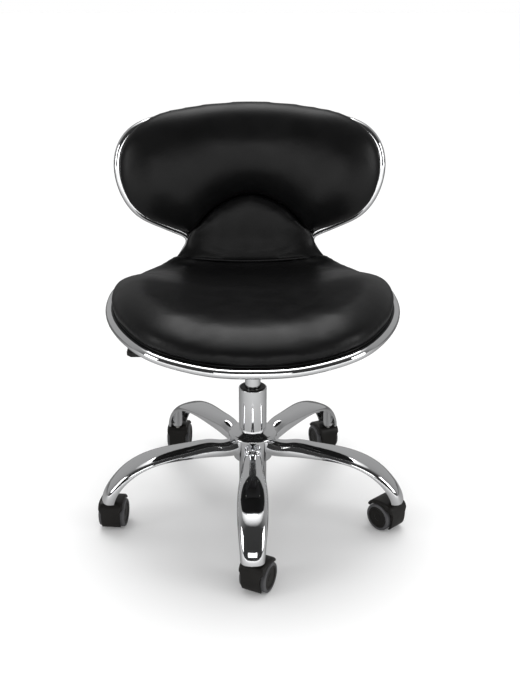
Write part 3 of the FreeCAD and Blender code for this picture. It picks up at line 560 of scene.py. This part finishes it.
def both_sides(right):
    """A line over both halves from its right half, which runs outwards."""
    left = right[::-1] * (-1, 1)
    return np.concatenate([left[left[:, 0] < -1e-6], right])


def climbing(line):
    """Only the points whose a grows along the line, so that it can be interpolated."""
    kept = [line[0]]
    for point in line[1:]:
        if point[0] > kept[-1][0] + 1e-6:
            kept.append(point)
    return np.array(kept)


def stays(points):
    """The foot of a cushion is fixed to the shell."""
    return height_over(points) < 0.011


def seam_height(gap):
    """How high the covers stand along the seam, from the distance to the pads' edge."""
    return PAD_BASE + (SEAM_TOP - PAD_BASE) * roll(gap, 0.030, 2.2)


seat_side = right_line[right_line[:, 1] < seam_at(right_line[:, 0])]
seat_widest = seat_side[:, 0].argmax()
neck = seat_side[-1, 0]
SEAT_DEPTH, SEAT_CROWN = 0.0505, 0.004


def make_seat_cushion():
    """Deep and blunt in front, with long soft shoulders behind that run into the waist."""
    front = both_sides(climbing(seat_side[:seat_widest + 1]))
    across = np.linspace(0, neck, 40)[:-1]
    seam = np.stack([across, seam_at(across)], axis=-1)
    rear = both_sides(np.concatenate([seam, climbing(seat_side[:seat_widest - 1:-1])]))

    def softening(s):
        """0 over the front half, 1 at the rear shoulders."""
        return ease((s + 0.11) / 0.12)

    def height(points, near):
        a, s = points.T
        gap = distance_inside(points, pad_line)[0]
        soft = softening(s)
        firm = PAD_BASE + (SEAT_DEPTH + SEAT_CROWN) * roll(gap, 0.052, 2.25)
        slack = PAD_BASE + 0.045 * roll(gap, 0.095, 2.0)
        usual = firm + (slack - firm) * soft
        to_seam = seam_at(a) - s
        lip = 0.003 * (1 - roll(to_seam, 0.004, 2))
        at_seam = seam_height(gap) - lip
        return at_seam + (usual - at_seam) * ease((to_seam - 0.002) / 0.075)

    def lean(points, near, o):
        gap = distance_inside(points, pad_line)[0]
        share = np.clip((o - PAD_BASE) / 0.05, 0, 1)
        border = np.clip(1 - gap / 0.03, 0, 1)
        beside_waist = ease((points[:, 1] + 0.01) / 0.06)
        over_trim = 0.017 * beside_waist * ease((o - 0.009) / 0.010)
        swell = 0.044 + 0.022 * (1 - ease((points[:, 1] + 0.06) / 0.10))
        return (swell * share * (1 - share) ** 1.5 + over_trim) * border

    piece = pad_solid("seat_pad", front, rear, height, lean)
    remesh(piece, SEAT_VOXEL)
    settle_cover(piece, SEAT_SWELL,
                 lambda p: stays(p) | (spine_place(p) > SEAM_MIDDLE - 0.012))
    finish_pad(piece, 0.9, "seat_cushion")


def arch_line(shrink=0.0, count=80):
    """The arch under the back pad, from left to right, in (a, s)."""
    angle = np.linspace(math.pi, 0, count)
    x = (ARCH_HALF - shrink) * np.sign(np.cos(angle)) * np.abs(np.cos(angle)) ** ARCH_SHAPE
    z = ARCH_LOW + (ARCH_TOP - ARCH_LOW - shrink) * np.sin(angle) ** ARCH_SHAPE
    return from_front(np.stack([x, z], axis=-1))


def make_waist_pad():
    """From the seam up to the arch: as wide as the flared waist, flush with the trim."""
    foot = arch_line(0.001)
    flare = right_line[(right_line[:, 1] >= seam_at(right_line[:, 0]))
                       & (right_line[:, 1] < WAIST)]
    shoulder = np.array([[flare[-1, 0] - 0.0005, foot[0, 1]]])
    half = np.concatenate([foot[len(foot) // 2:], shoulder, flare[::-1]])
    high = both_sides(climbing(half))
    across = np.linspace(-flare[0, 0], flare[0, 0], 90)
    low = np.stack([across, seam_at(across)], axis=-1)

    def height(points, near):
        a, s = points.T
        beside = distance_inside(points, pad_line)[0]
        to_seam = s - seam_at(a)
        rounded = roll(beside + 0.001, 0.034, 2.2)
        lip = 0.004 * (1 - roll(to_seam, 0.005, 2))
        swell = 0.003 * ease(to_seam / 0.05)
        return PAD_BASE + (0.0305 + swell - lip) * rounded

    def lean(points, near, o):
        beside = distance_inside(points, pad_line)[0]
        border = np.clip(1 - beside / 0.03, 0, 1)
        return 0.018 * ease((o - 0.009) / 0.010) * border

    piece = pad_solid("waist_tongue", low, high, height, lean, cols=180, rows=80)
    remesh(piece, WAIST_VOXEL)
    settle_cover(piece, WAIST_SWELL,
                 lambda p: stays(p) | (spine_place(p) < SEAM_MIDDLE + 0.014))
    finish_pad(piece, 0.8, "waist_pad")


def make_back_cushion():
    """Wide and full, with an arch in its foot; its edge stands out over the trim's lip."""
    over_lip = 0.0022
    ring = from_front(spline(mirrored(BACK_PAD_HALF), 700))
    widest = ring[:, 0].argmax()
    right_foot = climbing(ring[:widest + 1])
    arch = arch_line()
    beside_arch = right_foot[right_foot[:, 0] > ARCH_HALF]
    low = both_sides(np.concatenate([arch[len(arch) // 2:], beside_arch]))
    middle = len(ring) // 2
    high = both_sides(climbing(ring[widest:middle + 1][::-1]))
    lip_line = inset(0.013)

    def base(points):
        """Just over the shell inside the trim's lip, and over the trim outside it."""
        near, out = distance_inside(points, lip_line)
        feet = lip_line[[np.linalg.norm(lip_line - p, axis=1).argmin() for p in points]]
        outside = ((points - feet) * out).sum(axis=1) > 0
        return PAD_BASE + over_lip * np.where(outside, 1.0, ease(1 - near / 0.004))

    def height(points, near):
        return PAD_BASE + over_lip + 0.0540 * roll(near, 0.078, 2.1)

    def lean(points, near, o):
        share = np.clip((o - PAD_BASE) / 0.0535, 0, 1)
        swell = 0.018 + 0.028 * ease((np.abs(points[:, 0]) - 0.10) / 0.10)
        return swell * share * (1 - share) * np.clip(1 - near / 0.03, 0, 1)

    piece = pad_solid("back_pad", climbing(low), high, height, lean, base, cols=260)
    remesh(piece, BACK_VOXEL)
    settle_cover(piece, BACK_SWELL, stays)
    finish_pad(piece, 0.9, "back_cushion")


make_seat_cushion()
make_waist_pad()
make_back_cushion()


# ---------------------------------------------------------------- trim and welts

WELT = 0.0016


def cord_round(name, distance, height, keep=None):
    """A welt that follows the outline at a distance inside it."""
    line = inset(distance)
    closed = keep is None
    if not closed:
        line = np.roll(line, -np.flatnonzero(~keep(line))[-1] - 1, axis=0)
        line = line[keep(line)]
    path = ribbon(line[:, 0], line[:, 1], height)
    tube(name, path, WELT, vinyl, closed)


def make_trim():
    """A rounded bead round the shell's edge with a short lip on both faces."""
    radius, lip, groove, soft, fine = 0.008, 0.012, SHELL_HALF, 0.0008, 0.0006
    arc = [(radius - radius * math.cos(t), radius * math.sin(t))
           for t in np.linspace(math.pi / 2, -math.pi / 2, 17)]
    profile = [(lip, groove), (lip, radius - soft), (lip - fine, radius)] + arc
    profile += [(lip - fine, -radius), (lip, soft - radius), (lip, -groove),
                (radius, -groove), (radius, groove)]
    piece = swept_edge("trim_bead", EDGE, profile, chrome)
    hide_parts("edge_trim")


def make_seam_cord():
    """The turned edge of the seat's cover along the waist seam, in a lighter vinyl that paints a
    highlight along it.
    """
    across = np.linspace(-0.128, 0.128, 120)
    s = seam_at(across) + 0.0004
    gap = distance_inside(np.stack([across, s], axis=-1), pad_line)[0]
    o = seam_height(gap) - 0.0022
    piece = tube("seam_cord", ribbon(across, s, o), 0.0015, highlight_vinyl)


make_trim()
make_seam_cord()
cord_round("cover_welt", 0.0132, -0.0080)
cord_round("seat_welt", 0.0131, 0.0092,
           lambda line: line[:, 1] < math.radians(40) * BEND)
cord_round("back_welt", 0.0131, 0.0092,
           lambda line: (line[:, 1] > WAIST + 0.004) & (line[:, 1] < 0.31))


# ---------------------------------------------------------------- studio

def make_floor():
    """A pale floor that runs out of sight; mirrored in metal it shows a painted reflection,
    white in front and dark behind.
    """
    mesh = bpy.data.meshes.new("floor")
    half = 40.0
    level = -0.0005
    mesh.from_pydata([(-half, -half, level), (half, -half, level), (half, half, level),
                      (-half, half, level)], [], [(0, 1, 2, 3)])
    floor = bpy.data.objects.new("floor", mesh)
    scene.collection.objects.link(floor)
    made = new_material("pale_floor", (0.88, 0.88, 0.88), 0.6, specular=0.1)
    spot = add_node(made, "ShaderNodeSeparateXYZ")
    made.node_tree.links.new(place_of(made), spot.inputs["Vector"])
    # Painted reflection: glossy rays see the floor white in front and dark behind, standing in
    # for a dark room.
    painted_reflection_colour = blend_colours(made, ranged(made, spot.outputs["Y"], 0, 1, -2.5, 0.7),
                                   (1.0, 1.0, 1.0), (0.10, 0.10, 0.10))
    path = add_node(made, "ShaderNodeLightPath")
    shade = blend_colours(made, path.outputs["Is Glossy Ray"], (0.88, 0.88, 0.88),
                          (0.5, 0.5, 0.5))
    made.node_tree.links.new(painted_reflection_colour, colour_sockets(shade.node.inputs)[1])
    feed(made, "Base Color", shade)
    mesh.materials.append(made)


def add_softbox(name, spot, target, width, height, power):
    light = bpy.data.lights.new(name, "AREA")
    light.shape = "RECTANGLE"
    light.size = width
    light.size_y = height
    light.energy = power
    box = bpy.data.objects.new(name, light)
    box.location = spot
    box.rotation_mode = "QUATERNION"
    way = Vector(target) - Vector(spot)
    box.rotation_quaternion = way.to_track_quat("-Z", "Y")
    scene.collection.objects.link(box)


def add_overhead():
    """A broad even light from above."""
    light = bpy.data.lights.new("overhead", "SUN")
    light.energy = 1.4
    light.angle = math.radians(40)
    lamp = bpy.data.objects.new("overhead", light)
    lamp.rotation_euler = Euler((math.radians(-16), 0, 0))
    scene.collection.objects.link(lamp)


def make_world():
    """White all round for soft light; what metal mirrors is a dim room with a lit ceiling."""
    world = bpy.data.worlds.new("studio")
    scene.world = world
    world.use_nodes = True
    tree = world.node_tree
    tree.nodes.clear()
    link = tree.links.new

    def ramp(source, *steps):
        """A grey for each (place, value) step."""
        node = tree.nodes.new("ShaderNodeValToRGB")
        elements = node.color_ramp.elements
        while len(elements) < len(steps):
            elements.new(0.5)
        for element, (spot, value) in zip(elements, steps):
            element.position = spot
            element.color = (value, value, value, 1)
        link(source, node.inputs["Fac"])
        return node.outputs["Color"]

    def vector_step(operation, source, value=None):
        node = tree.nodes.new("ShaderNodeVectorMath")
        node.operation = operation
        if value is not None:
            node.inputs[1].default_value = value
        link(source, node.inputs[0])
        return node

    def background(grey):
        node = tree.nodes.new("ShaderNodeBackground")
        node.inputs["Color"].default_value = (grey, grey, grey, 1)
        return node

    coords = tree.nodes.new("ShaderNodeTexCoord")
    split = tree.nodes.new("ShaderNodeSeparateXYZ")
    link(coords.outputs["Generated"], split.inputs["Vector"])
    shifted = tree.nodes.new("ShaderNodeMath")
    shifted.operation = "MULTIPLY_ADD"
    shifted.inputs[1].default_value = 0.5
    shifted.inputs[2].default_value = 0.5
    link(split.outputs["Y"], shifted.inputs[0])
    sweep = ramp(shifted.outputs[0], (0.0, 0.03), (0.3, 0.04), (0.55, 0.28), (1.0, 0.36))

    narrowed = vector_step("MULTIPLY", coords.outputs["Generated"], (0.75, 1, 1))
    unit = vector_step("NORMALIZE", narrowed.outputs["Vector"])
    overhead = vector_step("DOT_PRODUCT", unit.outputs["Vector"], (0, 0.12, 0.993))
    ceiling = ramp(overhead.outputs["Value"], (0.0, 0.0), (0.86, 0.0), (0.96, 1.1), (1.0, 1.4))
    both = tree.nodes.new("ShaderNodeMix")
    both.data_type = "RGBA"
    both.blend_type = "LIGHTEN"
    both.inputs[0].default_value = 1.0
    first, second = colour_sockets(both.inputs)
    link(sweep, first)
    link(ceiling, second)
    mirrored_room = tree.nodes.new("ShaderNodeBackground")
    link(colour_sockets(both.outputs)[0], mirrored_room.inputs["Color"])
    white = background(0.8)
    seen = background(1.0)
    path = tree.nodes.new("ShaderNodeLightPath")
    light = tree.nodes.new("ShaderNodeMixShader")
    view = tree.nodes.new("ShaderNodeMixShader")
    out = tree.nodes.new("ShaderNodeOutputWorld")
    link(path.outputs["Is Glossy Ray"], light.inputs["Fac"])
    link(white.outputs["Background"], light.inputs[1])
    link(mirrored_room.outputs["Background"], light.inputs[2])
    link(path.outputs["Is Camera Ray"], view.inputs["Fac"])
    link(light.outputs["Shader"], view.inputs[1])
    link(seen.outputs["Background"], view.inputs[2])
    link(view.outputs["Shader"], out.inputs["Surface"])


def make_camera():
    """In front, a little left, looking down by 22 degrees."""
    camera = bpy.data.cameras.new("camera")
    camera.sensor_width = 36
    camera.lens = 45.62
    camera.shift_x = 0.0103
    camera.dof.use_dof = False
    eye = bpy.data.objects.new("camera", camera)
    eye.location = (-0.0377, -1.4415, 0.901)
    eye.rotation_euler = Euler((math.radians(90 - 22.1), 0, math.radians(-1.5)))
    scene.collection.objects.link(eye)
    scene.camera = eye


make_floor()
make_world()
make_camera()
add_overhead()
add_softbox("front", (-0.1, -2.8, 0.85), (0, 0, 0.55), 1.6, 0.6, 7)
add_softbox("left_side", (-2.3, -1.1, 1.1), (0, 0, 0.5), 0.8, 1.4, 11)
add_softbox("right_side", (2.3, -1.1, 1.1), (0, 0, 0.5), 0.8, 1.4, 13)
scene.view_settings.view_transform = "Standard"
